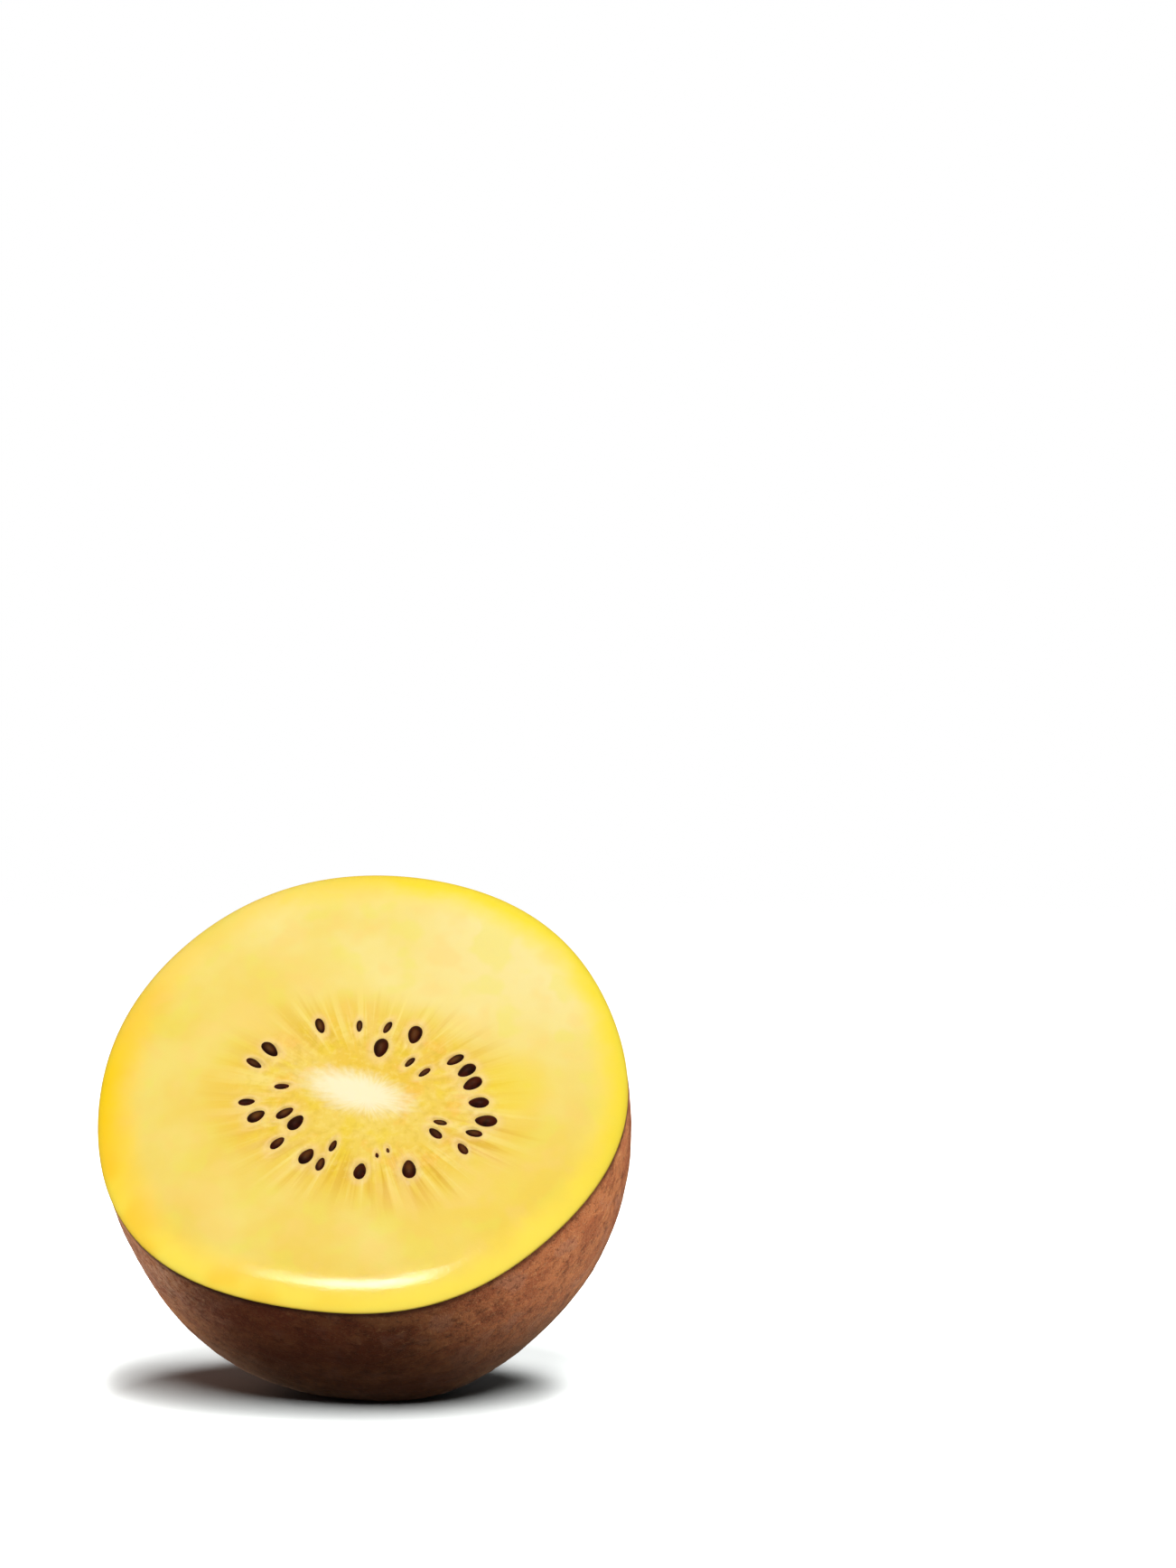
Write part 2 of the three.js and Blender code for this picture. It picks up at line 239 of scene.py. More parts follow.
SEED_NOISES = {"mottle": ("place", EVEN, 1.1, 2.0, 0.5), "pits": ("place", EVEN, 6.0, 1.0, 0.5)}
SEED_COLOR = (32, 6, 2)
SEED_LAYERS = [
    (1.0, (58, 15, 4), [("mottle", 0.4, 0.65)]),
    # The lighter middle is partly the coat's own colour and partly a painted glint.
    (0.6, (112, 70, 24), [("middle",)]),
]

# Bumps: their height in millimetres and their strength.
FLESH_GRAIN_BUMP, FIBRE_BUMP = (0.02, 0.5), (0.04, 0.5)
GRAINS_BUMP, FINE_BUMP = (0.14, 0.7), (0.06, 0.5)
PITS_BUMP = (0.03, 0.5)

# ---------------------------------------------------------------------------------------------------------
# The photograph: its size and where the middle of the cut lies on it, in pixels.

PHOTO_SIZE = (1302, 1736)
CUT_PIXEL = (399.2, 1205.2)
PIXELS_PER_METRE = 11300.0
VIEW_AZIMUTH = 5.0  # degrees
VIEW_ELEVATION = 6.5
VIEW_DISTANCE = 0.7  # metres
SENSOR = 36.0  # width of the camera's sensor, in millimetres

# The studio. Distances and sizes are in metres, angles in degrees.
FLOOR_FADE = (0.2, 0.6)  # distances between which the floor fades away
FLOOR_SEEN = (164, 166, 165)  # the floor's colour as the camera sees it
FLOOR_THROWN = (18, 18, 18)  # and as it throws light back on the fruit
ROOM_LIGHT = 0.11  # how strongly the surroundings light the fruit
MIDDLE = Vector((0.0, 0.0, 0.025))  # what the lights face

# Each soft light: what it lights, whether it shows in reflections, its azimuth, elevation and distance, its
# width and height, and its radiance.
LIGHTS = {
    "key": ("fruit", False, 10, 68, 0.9, 0.36, 0.36, 21),
    "front_fill": ("fruit", False, -10, 40, 0.8, 0.4, 0.3, 2.4),
    "right_fill": ("skin", False, 62, 33, 0.6, 0.25, 0.3, 25),
    "left_fill": ("skin", False, -106, 14, 0.6, 0.2, 0.3, 36),
    "floor_top": ("floor", True, 73, 76.5, 0.9, 0.35, 0.37, 54),
    "floor_front": ("floor", True, 8, 41, 0.9, 0.15, 0.72, 198),
}

# A low arch of narrow lamps, which the wet edge of the face mirrors as one thin arc of light. They stand
# highest at the azimuth ARCH_TOP, and are tallest and brightest at ARCH_HEART. All three fall off with the
# square of the azimuth from there.
ARCH_AZIMUTHS = np.linspace(-15, -2.5, 5)
ARCH_TOP, ARCH_ELEVATION, ARCH_FALL = -7, 62.8, 0.027
ARCH_HEART, ARCH_HEIGHT, ARCH_THINNING = -9, 0.041, 0.0003
ARCH_RADIANCE, ARCH_DIMMING = 34, 0.4
ARCH_DISTANCE, ARCH_WIDTH = 0.7, 0.02

# ---------------------------------------------------------------------------------------------------------
# How the fruit lies.

UP = np.array([0.0, math.sin(TILT), math.cos(TILT)])  # the way up, in the fruit's frame

# The lowest point of the leaning superellipse, below the middle of the cut, off the axis and along it.
DUAL = FULLNESS / (FULLNESS - 1)
REACH = ((FACE_RADIUS * UP[1]) ** DUAL + (HALF_LENGTH * UP[2]) ** DUAL) ** (1 / DUAL)
LOW_RADIUS = FACE_RADIUS * (FACE_RADIUS * UP[1] / REACH) ** (DUAL - 1)
LOW_LENGTH = HALF_LENGTH * (HALF_LENGTH * UP[2] / REACH) ** (DUAL - 1)
CUT_HEIGHT = REACH - SPOT_DEPTH  # of the middle of the cut, over the surface
CUT_FORWARD = LOW_LENGTH * UP[1] - LOW_RADIUS * UP[2]  # of it, in front of the flat spot


def draw(index, kind):
    """A number from 0 to 1 that looks random and is the same in each run, and in the part's source."""
    wild = math.sin(index * 12.9898 + kind * 78.233) * 43758.5453
    return wild - math.floor(wild)


def smoothstep(value, low, high):
    share = np.clip((value - low) / (high - low), 0, 1)
    return share * share * (3 - 2 * share)


def bell(value, middle, width):
    return np.exp(-(((value - middle) / width) ** 2))


def oval_radius(oval, bearing):
    """How far an oval reaches from its middle at a bearing, in radians."""
    angle = bearing - math.radians(oval["bearing"])
    return 1 / np.hypot(np.cos(angle) / oval["half_length"], np.sin(angle) / oval["half_width"])


def square_to(oval, bearing):
    """The bearing square to an oval's outline, where the outline has a bearing of its own, in radians."""
    angle = bearing - math.radians(oval["bearing"])
    square = math.atan2(math.sin(angle) / oval["half_width"] ** 2, math.cos(angle) / oval["half_length"] ** 2)
    return math.radians(oval["bearing"]) + square


def place_in(oval, x, y):
    """Where points lie in an oval: the bearing, and the distance as a share of the oval's radius there."""
    bearing = np.arctan2(y - oval["y"], x - oval["x"])
    return bearing, np.hypot(x - oval["x"], y - oval["y"]) / oval_radius(oval, bearing)


def swells(points, parts):
    """Smooth noise at each of the points, in parts of a height and a size of its lumps, in millimetres."""
    total = np.zeros(points.shape[:-1])
    for height, size in parts:
        lumps = [noise.noise(Vector(point)) for point in (points / size).reshape(-1, 3).tolist()]
        total += height * np.array(lumps).reshape(total.shape)
    return total


def end_relief(radius, bearing):
    """How far the ring and the scar stand out of the fruit's end. The scar is puckered towards its middle."""
    ring = RING_HEIGHT * bell(radius, RING_RADIUS, RING_WIDTH)
    scar = 1 - smoothstep(radius, 0, RING_RADIUS)
    folds = np.cos(PUCKER["folds"] * bearing + PUCKER["sway"] * np.sin(PUCKER["sways"] * bearing))
    pucker = PUCKER["height"] * folds * bell(radius, PUCKER["radius"], PUCKER["width"])
    return ring * (1 + RING_UNEVENNESS * np.sin(RING_WAVES * bearing)) - RING_HOLLOW * scar + pucker


def turned(radius, height, sides):
    """Rings of points round the fruit's axis, one for each radius and height."""
    bearing = np.linspace(0, 2 * math.pi, sides, endpoint=False)
    rings = np.empty((len(radius), sides, 3))
    rings[..., 0] = np.outer(radius, np.cos(bearing))
    rings[..., 1] = np.outer(radius, np.sin(bearing))
    rings[..., 2] = np.asarray(height)[:, None]
    return rings


def wall_rings(inset, top_height, rows, sides):
    """Rings of points up the body's wall, from the fruit's end to a height near the cut."""
    radius = FACE_RADIUS - inset
    length = HALF_LENGTH - inset
    last_angle = math.acos((-top_height / length) ** (FULLNESS / 2))
    angle = np.linspace(0, last_angle, rows + 1)[1:]
    outline_radius = radius * np.sin(angle) ** (2 / FULLNESS)
    outline_height = -length * np.cos(angle) ** (2 / FULLNESS)
    return turned(outline_radius, outline_height, sides)


def like_fruit(points, inset):
    """Gives a turned body the fruit's section, its bow, and the flat spot that it lies on."""
    bearing = np.arctan2(points[..., 1], points[..., 0])
    widening = 1 + FLATTENING * np.cos(2 * (bearing - math.radians(LONG_BEARING)))
    for count, height, crest in WAVES:
        widening += height * np.cos(count * (bearing - math.radians(crest)))
    shaped = points * np.stack([widening, widening, np.ones_like(widening)], axis=-1)
    depth = np.clip(-points[..., 2] / HALF_LENGTH, 0, 1)
    shaped[..., 0] += 4 * BOW * depth * (1 - depth)
    height = shaped @ UP + CUT_HEIGHT - inset
    settled = np.where(height > SPOT_EASE, height, np.maximum(height + SPOT_EASE, 0) ** 2 / (4 * SPOT_EASE))
    return shaped + (settled - height)[..., None] * UP


def to_row(points):
    """Points of the fruit's frame, in millimetres, in the row frame, in metres."""
    x, y, z = np.moveaxis(np.asarray(points, float), -1, 0)
    across = y * UP[2] - z * UP[1] - CUT_FORWARD
    above = y * UP[1] + z * UP[2] + CUT_HEIGHT
    return np.stack([x, across, above], axis=-1) / 1000


# ---------------------------------------------------------------------------------------------------------
# Meshes.


def with_ends(values):
    """The values of a loft's rings, then those of the two points that close it."""
    flat = values.reshape(-1, *values.shape[2:])
    ends = np.stack([values[0].mean(axis=0), values[-1].mean(axis=0)])
    return np.concatenate([flat, ends])


def lofted(rings):
    """Vertices and faces of a closed body: rings from one end to the other, where the first and the last are
    closed by a point in their middle."""
    count, sides, _ = rings.shape
    here = np.arange(count * sides).reshape(count, sides)
    beside = np.roll(here, -1, axis=1)
    quads = np.stack([here[:-1], beside[:-1], beside[1:], here[1:]], axis=-1).reshape(-1, 4)
    first = count * sides
    last = first + 1
    start = [(first, b, a) for a, b in zip(here[0].tolist(), beside[0].tolist())]
    end = [(last, a, b) for a, b in zip(here[-1].tolist(), beside[-1].tolist())]
    return with_ends(rings), quads.tolist() + start + end


def mesh_piece(name, vertices, faces, material, attributes):
    """A smooth piece of the half, from vertices in the row frame, that rides with it."""
    mesh = bpy.data.meshes.new(name)
    mesh.from_pydata(vertices.tolist(), [], faces)
    mesh.polygons.foreach_set("use_smooth", [True] * len(mesh.polygons))
    for key, values in attributes.items():
        if values.ndim == 2:
            attribute = mesh.attributes.new(key, "FLOAT_VECTOR", "POINT")
            attribute.data.foreach_set("vector", values.astype(np.float32).ravel())
        else:
            attribute = mesh.attributes.new(key, "FLOAT", "POINT")
            attribute.data.foreach_set("value", values.astype(np.float32))
    mesh.materials.append(material)
    mesh.validate()
    piece = bpy.data.objects.new(name, mesh)
    bpy.context.scene.collection.objects.link(piece)
    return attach(piece, "root")


# ---------------------------------------------------------------------------------------------------------
# Materials.


def rgb(red, green, blue):
    """A linear colour from a screen's one of 0 to 255."""
    def linear(share):
        return share / 12.92 if share <= 0.04045 else ((share + 0.055) / 1.055) ** 2.4
    return (linear(red / 255), linear(green / 255), linear(blue / 255), 1.0)


class Surface:
    """A material, with short ways to add nodes to it. Its measures, by name, are what layers depend on."""

    def __init__(self, name, noises=None, attributes=(), directions=None, spots=None, **sockets):
        """Noises are as listed above, attributes are the mesh's, a direction measures how far a point lies
        that way, and a spot how far a point lies from it. Sockets are the shader's own, by name."""
        self.material = bpy.data.materials.new(name)
        self.material.use_nodes = True
        self.nodes = self.material.node_tree.nodes
        self.links = self.material.node_tree.links
        self.shader = self.nodes["Principled BSDF"]
        for key, value in sockets.items():
            self.shader.inputs[key.replace("_", " ")].default_value = value
        self.measures = {key: self.noise(*pattern) for key, pattern in (noises or {}).items()}
        for key in attributes:
            self.measures[key] = self.add("Attribute", {}, output="Fac", attribute_name=key)
        for key, direction in (directions or {}).items():
            self.measures[key] = self.place_math("DOT_PRODUCT", direction)
        for key, spot in (spots or {}).items():
            self.measures[key] = self.place_math("DISTANCE", spot)

    def feed(self, socket, value):
        if isinstance(value, bpy.types.NodeSocket):
            self.links.new(value, socket)
        else:
            socket.default_value = value

    def add(self, kind, inputs, output=0, **settings):
        """Adds a node with these inputs, by name or number, and gives one of its outputs."""
        node = self.nodes.new("ShaderNode" + kind)
        for key, value in settings.items():
            setattr(node, key, value)
        for key, value in inputs.items():
            self.feed(node.inputs[key], value)
        return node.outputs[output]

    def vector(self, name):
        return self.add("Attribute", {}, output="Vector", attribute_name=name)

    def place_math(self, operation, other):
        inputs = {0: self.vector("place"), 1: other}
        return self.add("VectorMath", inputs, output="Value", operation=operation)

    def noise(self, coordinates, stretch, scale, detail, roughness):
        inputs = {0: self.vector(coordinates), 1: stretch}
        stretched = self.add("VectorMath", inputs, operation="MULTIPLY")
        inputs = {"Vector": stretched, "Scale": scale, "Detail": detail, "Roughness": roughness}
        return self.add("TexNoise", inputs)

    def math(self, operation, first, second):
        return self.add("Math", {0: first, 1: second}, operation=operation)

    def times(self, first, second):
        return self.math("MULTIPLY", first, second)

    def ease(self, value, low, high):
        """0 below low and 1 above high, or the other way round where low is the higher."""
        inputs = {"Value": value, "From Min": low, "From Max": high}
        return self.add("MapRange", inputs, interpolation_type="SMOOTHSTEP")

    def between(self, share, low, high):
        """From low to high, as a share goes from 0 to 1."""
        return self.add("MapRange", {"Value": share, "To Min": low, "To Max": high})

    def amount(self, *ranges, strength=1.0):
        """How strongly a layer shows where it depends on these measures."""
        total = strength
        for measure, *ends in ranges:
            value = self.measures[measure]
            total = self.times(total, self.ease(value, *ends) if ends else value)
        return total

    def mix(self, factor, first, second):
        return self.add("Mix", {0: factor, 6: first, 7: second}, output=2, data_type="RGBA")

    def paint(self, color, layers):
        """Lays layers over a colour, from the first to the last."""
        for strength, tint, ranges in layers:
            color = self.mix(self.amount(*ranges, strength=strength), color, rgb(*tint))
        return color

    def bump(self, height, distance, strength, normal=None):
        """A bumped normal, on top of another one. The distance is in millimetres."""
        inputs = {"Height": height, "Distance": distance / 1000, "Strength": strength}
        if normal is not None:
            inputs["Normal"] = normal
        return self.add("Bump", inputs)

    def finish(self, **sockets):
        """Feeds the shader's sockets, by name, and gives the material."""
        for key, value in sockets.items():
            self.feed(self.shader.inputs[key.replace("_", " ")], value)
        return self.material


def flesh_material():
    """Wet golden flesh: deep yellow at the edge, paler inside it, partly by its own colour and partly by a
    painted reflection of the light above, fibrous and mottled round the seeds, with a cream core."""
    surface = Surface(
        "golden_flesh",
        FLESH_NOISES,
        attributes=["rim", "core", "halo"],
        directions=FLESH_DIRECTIONS,
        spots=FLESH_SPOTS,
        Subsurface_Weight=0.35,
        Subsurface_Radius=(0.8, 0.65, 0.2),
        Subsurface_Scale=0.003,
        IOR=1.38,
    )
    measures = surface.measures
    measures["share"] = surface.add("SeparateXYZ", {0: surface.vector("spoke")}, output=2)

    clouds = surface.amount(CLOUDS)
    tones = [LOW_TONES, HIGH_TONES, INNER_TONES]
    low, high, inner = [surface.mix(clouds, rgb(*first), rgb(*second)) for first, second in tones]
    # pale is the flesh inside its edge: paler partly by its own colour and partly by a painted reflection of
    # the light above.
    pale = surface.paint(surface.mix(surface.amount(RAISED), low, high), PALE_LAYERS)
    edge = surface.paint(rgb(*EDGE_COLOR), EDGE_LAYERS)

    ragged = surface.math("ADD", measures["rim"], surface.times(measures["rags"], RAGGEDNESS))
    measures["ragged"] = surface.math("SUBTRACT", ragged, surface.amount(RIGHT, strength=RIGHT_SHIFT))
    top_strength = surface.between(surface.amount(TOP_RIGHT), *TOP_EDGE_STRENGTH)
    top_edge = surface.times(surface.amount(*TOP_EDGE), top_strength)
    color = surface.mix(surface.math("ADD", surface.amount(*LOW_EDGE), top_edge), pale, edge)
    color = surface.paint(color, RIM_LAYERS)
    color = surface.mix(surface.amount(INNER, strength=INNER_STRENGTH), color, inner)

    measures["reach"] = surface.amount(*FIBRE_REACH)
    strength = surface.between(surface.amount(NOT_LEFT), *FIBRE_STRENGTH)
    measures["visible"] = surface.times(measures["reach"], strength)
    measures["darkness"] = surface.between(surface.amount(*LOWER_RIGHT), *DARK_STRENGTH)
    measures["frayed"] = surface.math("ADD", measures["core"], surface.times(measures["frays"], CORE_FRAYING))
    color = surface.paint(color, FACE_LAYERS)

    normal = surface.bump(measures["grain"], *FLESH_GRAIN_BUMP)
    normal = surface.bump(surface.times(measures["fibres"], measures["reach"]), *FIBRE_BUMP, normal)
    roughness = surface.between(surface.amount(WET_EDGE), *FLESH_ROUGHNESS)
    return surface.finish(Base_Color=color, Normal=normal, Roughness=roughness)


def skin_material():
    """Thin dry skin: bronze brown with darker and lighter grains and a darker scar, with painted shade at the
    rim and below, painted light on the right and painted sheen on the left.
    """
    surface = Surface(
        "bronze_skin",
        SKIN_NOISES,
        attributes=["end", "cut"],
        directions={"level": tuple(UP)},
        spots=SKIN_SPOTS,
        Specular_IOR_Level=0.16,
        Sheen_Weight=0.11,
        Sheen_Roughness=0.4,
        Sheen_Tint=rgb(226, 194, 162),
    )
    normal = surface.bump(surface.measures["grains"], *GRAINS_BUMP)
    normal = surface.bump(surface.measures["fine"], *FINE_BUMP, normal)
    roughness = surface.between(surface.measures["grains"], *SKIN_ROUGHNESS)
    color = surface.paint(rgb(*SKIN_COLOR), SKIN_LAYERS)
    return surface.finish(Base_Color=color, Normal=normal, Roughness=roughness)


def seed_material():
    """Smooth dark brown seeds, mottled, some with a lighter middle, partly their own colour and partly a
    painted glint.
    """
    surface = Surface(
        "seed_coat",
        SEED_NOISES,
        attributes=["middle"],
        Roughness=0.46,
        Specular_IOR_Level=0.2,
        Coat_Weight=0.04,
        Coat_Roughness=0.2,
    )
    normal = surface.bump(surface.measures["pits"], *PITS_BUMP)
    return surface.finish(Base_Color=surface.paint(rgb(*SEED_COLOR), SEED_LAYERS), Normal=normal)


# ---------------------------------------------------------------------------------------------------------
# The pieces.


def seed_list():
    """Each seed's place on the face, the way it points, its length and width, and how pale its middle is."""
    seeds = []
    for row, (share, signs) in enumerate(SEED_ROWS):
        for locule, sign in enumerate(signs):
            if sign not in SEED_SIZES:
                continue

            def stray(kind, most):
                return (2 * draw(locule, 4 * row + kind) - 1) * most

            bearing = math.radians(360 * locule / LOCULES + stray(1, STRAY_BEARING))
            distance = (share + stray(2, STRAY_SHARE)) * oval_radius(SEED_OVAL, bearing)
            size = 1 + stray(3, STRAY_SIZE)
            length, width = SEED_SIZES[sign]
            seeds.append({
                "x": SEED_OVAL["x"] + distance * math.cos(bearing),
                "y": SEED_OVAL["y"] + distance * math.sin(bearing),
                "turn": square_to(SEED_OVAL, bearing) + math.radians(stray(4, STRAY_TURN)),
                "length": length * size,
                "width": width * size,
                "paleness": MIDDLE_PALENESS + stray(5, MIDDLE_PALENESS),
            })
    return seeds


def seed_distance(seeds, x, y):
    """How far points of the face lie from the nearest seed's outline: 1 is on the outline, 0 its middle."""
    nearest = np.full(x.shape, np.inf)
    for seed in seeds:
        cosine, sine = math.cos(seed["turn"]), math.sin(seed["turn"])
        along = ((x - seed["x"]) * cosine + (y - seed["y"]) * sine) / (0.5 * seed["length"])
        across = ((y - seed["y"]) * cosine - (x - seed["x"]) * sine) / (0.5 * seed["width"])
        nearest = np.minimum(nearest, np.hypot(along, across))
    return nearest


def face_height(x, y):
    """The height of the cut face over the plane of the cut: the core and the ribs between the locules."""
    _, in_core = place_in(CORE, x, y)
    core = CORE_RISE * (1 - smoothstep(in_core, *CORE_SLOPE))
    bearing, share = place_in(SEED_OVAL, x, y)
    spoke = (1 - np.cos(bearing * LOCULES)) / 2
    rib = smoothstep(share, *RIB_FROM) * (1 - smoothstep(share, *RIB_TO))
    return core + RIB_RISE * spoke * rib


def make_skin():
    """A thin cup with a grained outside and a rounded rim, puckered where the stalk was."""
    outside = wall_rings(0, -RIM_DROP, SKIN_ROWS, SKIN_SIDES)
    inside = wall_rings(PEEL, -RIM_DROP, INSIDE_ROWS, SKIN_SIDES)[::-1]
    rim_share = np.array(RIM_SHARES)
    rim_height = -RIM_DROP + RIM_ROUNDING * PEEL * np.sin(math.pi * rim_share)
    rim = turned(FACE_RADIUS - PEEL * rim_share, rim_height, SKIN_SIDES)
    place = np.concatenate([outside, rim, inside])
    bearing = np.arctan2(place[..., 1], place[..., 0])
    radius = np.hypot(place[..., 0], place[..., 1])
    near_end = place[..., 2] < -HALF_LENGTH / 2

    is_outside = np.zeros(len(place))
    is_outside[:SKIN_ROWS] = 1
    is_outside[SKIN_ROWS - SWELL_FADE_ROWS : SKIN_ROWS] = np.linspace(1, 0, SWELL_FADE_ROWS)
    grown = place.copy()
    grown[..., 2] -= np.where(near_end, end_relief(radius, bearing), 0)
    outward = grown / np.linalg.norm(grown, axis=-1, keepdims=True)
    grown += outward * (swells(place, SKIN_SWELLS) * is_outside[:, None])[..., None]
    inset = np.zeros((len(place), 1))
    inset[-INSIDE_ROWS:] = PEEL
    vertices, faces = lofted(to_row(like_fruit(grown, inset)))
    # cut: painted shade just under the skin's rim, where the flesh meets it.
    cut = smoothstep(place[..., 2], *(-RIM_DROP - depth for depth in CUT_SHADE))
    end = np.where(near_end, 1 - smoothstep(radius, *SCAR_SHADE), 0)
    attributes = {"place": with_ends(place), "end": with_ends(end), "cut": with_ends(cut)}
    piece = mesh_piece("skin_peel", vertices, faces, skin_material(), attributes)
    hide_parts("skin")
    return piece


def make_flesh(seeds):
    """The pulp: its wall, a lip over the skin's rim, then the cut face with ribs, core and seed hollows."""
    wall = wall_rings(PULP_INSET, -RIM_DROP, WALL_ROWS, FLESH_SIDES)
    wall_radius = wall[-1, 0, 0]
    lip_inset, lip_rise = np.array(LIP).T
    lip_radius = wall_radius + PULP_INSET - lip_inset
    lip_height = -RIM_DROP + lip_rise
    lip = turned(lip_radius, lip_height, FLESH_SIDES)
    edge_radius, edge_height = lip_radius[-1], lip_height[-1]
    radius = edge_radius * (1 - (np.arange(1, FACE_ROWS + 1) / (FACE_ROWS + 1)) ** ROW_SPREAD)
    into = np.maximum(radius - (edge_radius - EDGE_WIDTH), 0) / EDGE_WIDTH
    face = turned(radius, edge_height * into**EDGE_CURVE, FLESH_SIDES)
    x, y = face[..., 0], face[..., 1]
    from_seed = seed_distance(seeds, x, y)
    relief = SWELL_HEIGHT * bell(from_seed, SWELL_PLACE, SWELL_WIDTH)
    relief -= HOLLOW_DEPTH * (1 - smoothstep(from_seed, *HOLLOW_WALL))
    face[..., 2] += face_height(x, y) + relief + swells(face, FACE_SWELLS) * (1 - into[:, None])
    rings = np.concatenate([wall, lip, face])

    x, y = rings[..., 0], rings[..., 1]
    bearing, share = place_in(SEED_OVAL, x, y)
    on_face = (np.arange(len(rings)) >= WALL_ROWS)[:, None]
    halo = bell(np.maximum(seed_distance(seeds, x, y), 1), 1, HALO_WIDTH)
    attributes = {
        "place": with_ends(rings),
        "spoke": with_ends(np.stack([np.cos(bearing), np.sin(bearing), share], axis=-1)),
        "rim": with_ends(np.where(on_face, np.hypot(x, y) / edge_radius, 1.0)),
        "core": with_ends(place_in(CORE, x, y)[1]),
        "halo": with_ends(np.where(on_face, halo, 0)),
    }
    vertices, faces = lofted(to_row(like_fruit(rings, PULP_INSET)))
    piece = mesh_piece("flesh_pulp", vertices, faces, flesh_material(), attributes)
    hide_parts("flesh")
    return piece


def make_seeds(seeds):
    """All seeds in one piece: flattened drops, each half sunk in its hollow, its narrow end to the core."""
    turn = np.linspace(0, math.pi, SEED_RINGS + 2)[1:-1]
    across, thick, along = np.moveaxis(turned(0.5 * np.sin(turn), -0.5 * np.cos(turn), SEED_SIDES), -1, 0)
    is_upper = thick > 0
    off_middle = np.hypot(2 * along, 2 * across / MIDDLE_BREADTH)
    middle = (1 - smoothstep(off_middle, *MIDDLE_FADE)) * is_upper
    vertices, faces, places, middles = [], [], [], []
    for seed in seeds:
        width = seed["width"] * (1 - SEED_TAPER * (0.5 - along) ** TAPER_CURVE)
        cosine, sine = math.cos(seed["turn"]), math.sin(seed["turn"])
        x = seed["x"] + along * seed["length"] * cosine - across * width * sine
        y = seed["y"] + along * seed["length"] * sine + across * width * cosine
        z = face_height(seed["x"], seed["y"]) - SEED_SUNK + thick * width * SEED_FLATNESS
        rings = np.stack([x, y, z], axis=-1)
        own_vertices, own_faces = lofted(to_row(rings))
        first = sum(len(each) for each in vertices)
        faces += [tuple(first + index for index in face) for face in own_faces]
        vertices.append(own_vertices)
        places.append(with_ends(rings))
        middles.append(with_ends(seed["paleness"] * middle))
    attributes = {"place": np.concatenate(places), "middle": np.concatenate(middles)}
    piece = mesh_piece("seeds", np.concatenate(vertices), faces, seed_material(), attributes)
    return piece


# ---------------------------------------------------------------------------------------------------------
# The stage: floor, light and camera.


def make_floor():
    """A white floor that fades into the white surroundings, and throws little light back on the fruit."""
    surface = Surface("white_floor", Roughness=0.7, Specular_IOR_Level=0.2)
    where = surface.add("TexCoord", {}, output="Object")
    away = surface.add("VectorMath", {0: where}, output="Value", operation="LENGTH")
    far, near = FLOOR_FADE[1], FLOOR_FADE[0]
    seen = surface.add("LightPath", {}, output="Is Camera Ray")
    color = surface.mix(seen, rgb(*FLOOR_THROWN), rgb(*FLOOR_SEEN))
    surface.finish(Base_Color=color, Alpha=surface.ease(away, far, near))
    bpy.ops.mesh.primitive_plane_add(size=2 * far)
    floor = bpy.context.object
    floor.name = "floor"
    floor.data.materials.append(surface.material)
    return floor


def make_world():
    """Surroundings that look white and light the fruit only faintly."""
    world = bpy.data.worlds.new("studio")
    world.use_nodes = True
    nodes = world.node_tree.nodes
    links = world.node_tree.links
    seen = nodes.new("ShaderNodeLightPath").outputs["Is Camera Ray"]
    strength = nodes.new("ShaderNodeMapRange")
    links.new(seen, strength.inputs["Value"])
    strength.inputs["To Min"].default_value = ROOM_LIGHT
    strength.inputs["To Max"].default_value = 1.0
    links.new(strength.outputs["Result"], nodes["Background"].inputs["Strength"])
    nodes["Background"].inputs["Color"].default_value = (1, 1, 1, 1)
    bpy.context.scene.world = world


def towards(azimuth, elevation):
    """A direction from the fruit, in degrees. Azimuth 0 is in front of it (-Y), 90 on its right (+X)."""
    azimuth, elevation = math.radians(azimuth), math.radians(elevation)
    level = math.cos(elevation)
    return Vector((math.sin(azimuth) * level, -math.cos(azimuth) * level, math.sin(elevation)))


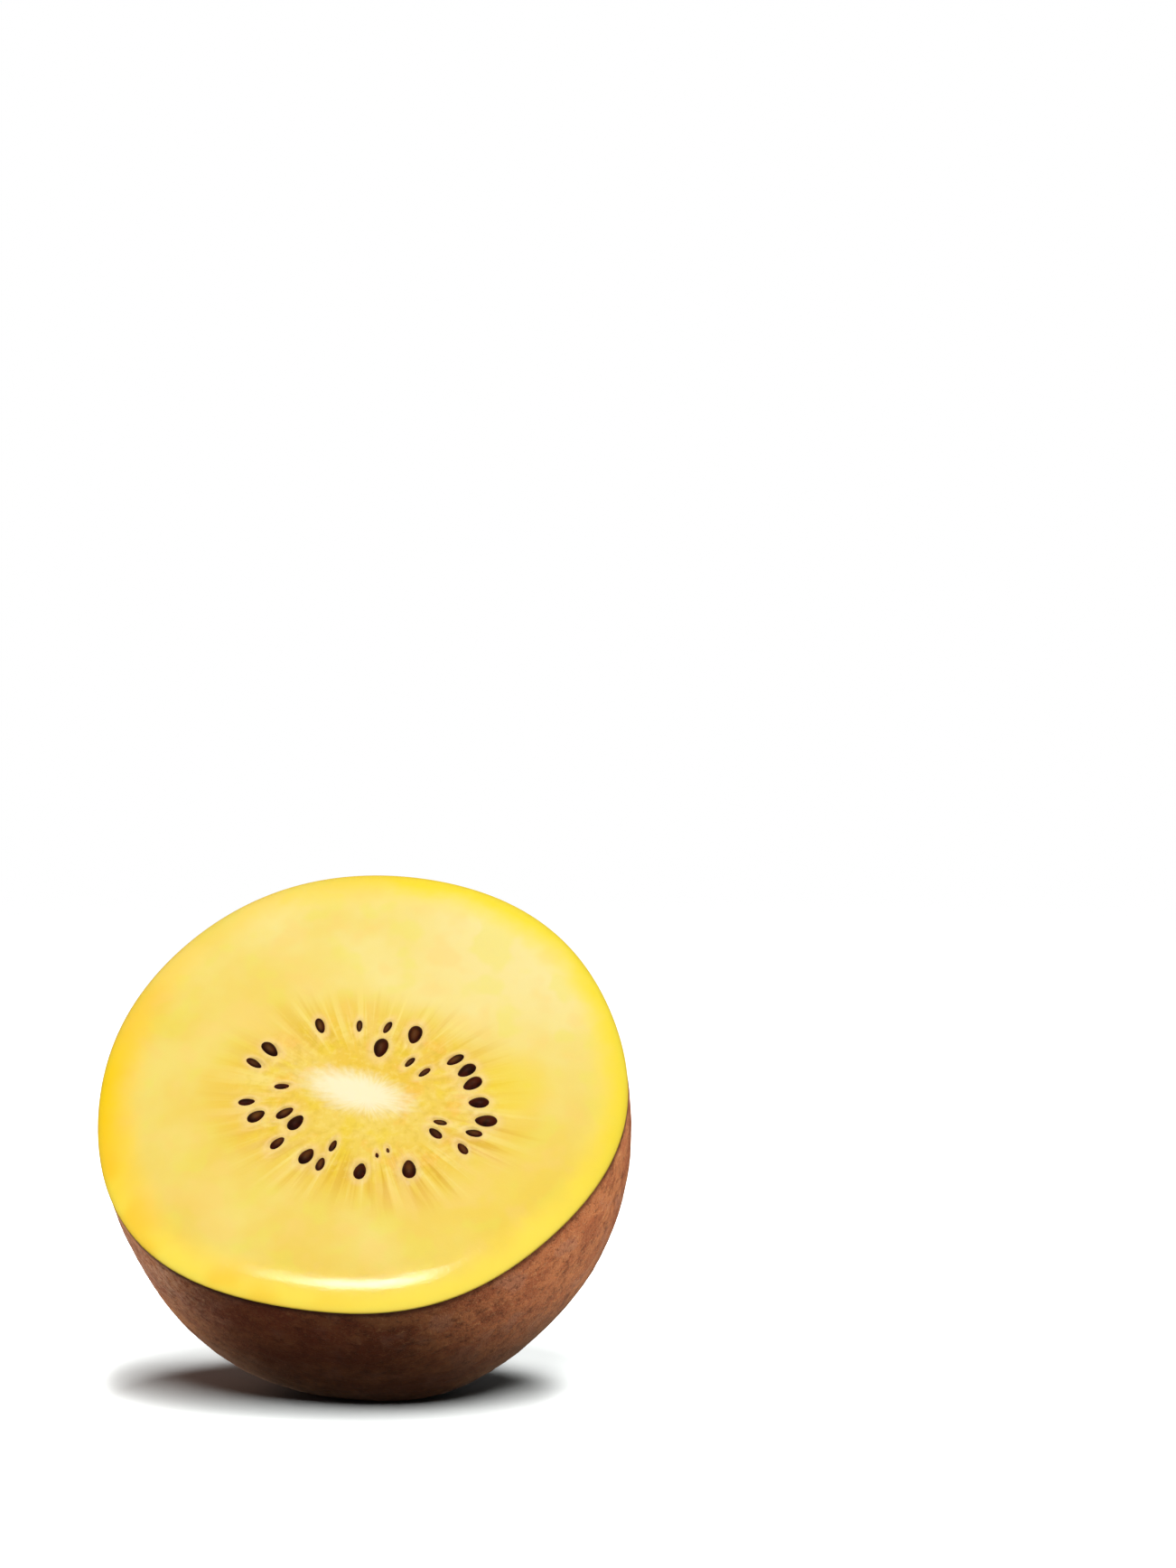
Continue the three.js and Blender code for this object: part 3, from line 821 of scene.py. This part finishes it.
def softbox(name, lit, glossy, azimuth, elevation, distance, width, height, radiance):
    """An area light that faces the fruit and lights only the pieces in lit. Without glossy it shows in no
    reflection."""
    light = bpy.data.lights.new(name, "AREA")
    light.shape = "RECTANGLE"
    light.size = width
    light.size_y = height
    light.energy = radiance * math.pi * width * height
    lamp = bpy.data.objects.new(name, light)
    direction = towards(azimuth, elevation)
    lamp.location = MIDDLE + distance * direction
    lamp.rotation_euler = direction.to_track_quat("Z", "Y").to_euler()
    lamp.visible_glossy = glossy
    receivers = bpy.data.collections.new(name + "_lights")
    for piece in lit:
        receivers.objects.link(piece)
    lamp.light_linking.receiver_collection = receivers
    bpy.context.scene.collection.objects.link(lamp)


def make_lights(lit):
    """The soft lights and the arch of lamps. lit has the pieces that each target in LIGHTS stands for."""
    for name, (target, *settings) in LIGHTS.items():
        softbox(name, lit[target], *settings)
    for index, azimuth in enumerate(ARCH_AZIMUTHS):
        elevation = ARCH_ELEVATION - ARCH_FALL * (azimuth - ARCH_TOP) ** 2
        height = ARCH_HEIGHT - ARCH_THINNING * (azimuth - ARCH_HEART) ** 2
        radiance = ARCH_RADIANCE - ARCH_DIMMING * (azimuth - ARCH_HEART) ** 2
        where = (azimuth, elevation, ARCH_DISTANCE)
        softbox(f"arch_{index}", lit["fruit"], True, *where, ARCH_WIDTH, height, radiance)


def make_camera():
    """Aims the camera so that the middle of the cut falls on its pixel of the photograph."""
    pixels = PIXELS_PER_METRE * VIEW_DISTANCE
    data = bpy.data.cameras.new("camera")
    data.sensor_width = SENSOR
    data.lens = pixels * SENSOR / PHOTO_SIZE[1]
    back = towards(VIEW_AZIMUTH, VIEW_ELEVATION)
    aside = Vector((CUT_PIXEL[0] - PHOTO_SIZE[0] / 2, PHOTO_SIZE[1] / 2 - CUT_PIXEL[1], -pixels))
    off_centre = aside.rotation_difference(Vector((0, 0, -1)))
    camera = bpy.data.objects.new("camera", data)
    camera.location = Vector(to_row(np.zeros(3)).tolist()) + VIEW_DISTANCE * back
    camera.rotation_mode = "QUATERNION"
    camera.rotation_quaternion = back.to_track_quat("Z", "Y") @ off_centre
    bpy.context.scene.collection.objects.link(camera)
    bpy.context.scene.camera = camera


seeds = seed_list()
skin = make_skin()
fruit = [skin, make_flesh(seeds), make_seeds(seeds)]
floor = make_floor()
make_world()
make_lights({"fruit": fruit, "skin": [skin], "floor": [floor]})
make_camera()

bpy.context.scene.view_settings.view_transform = "Standard"
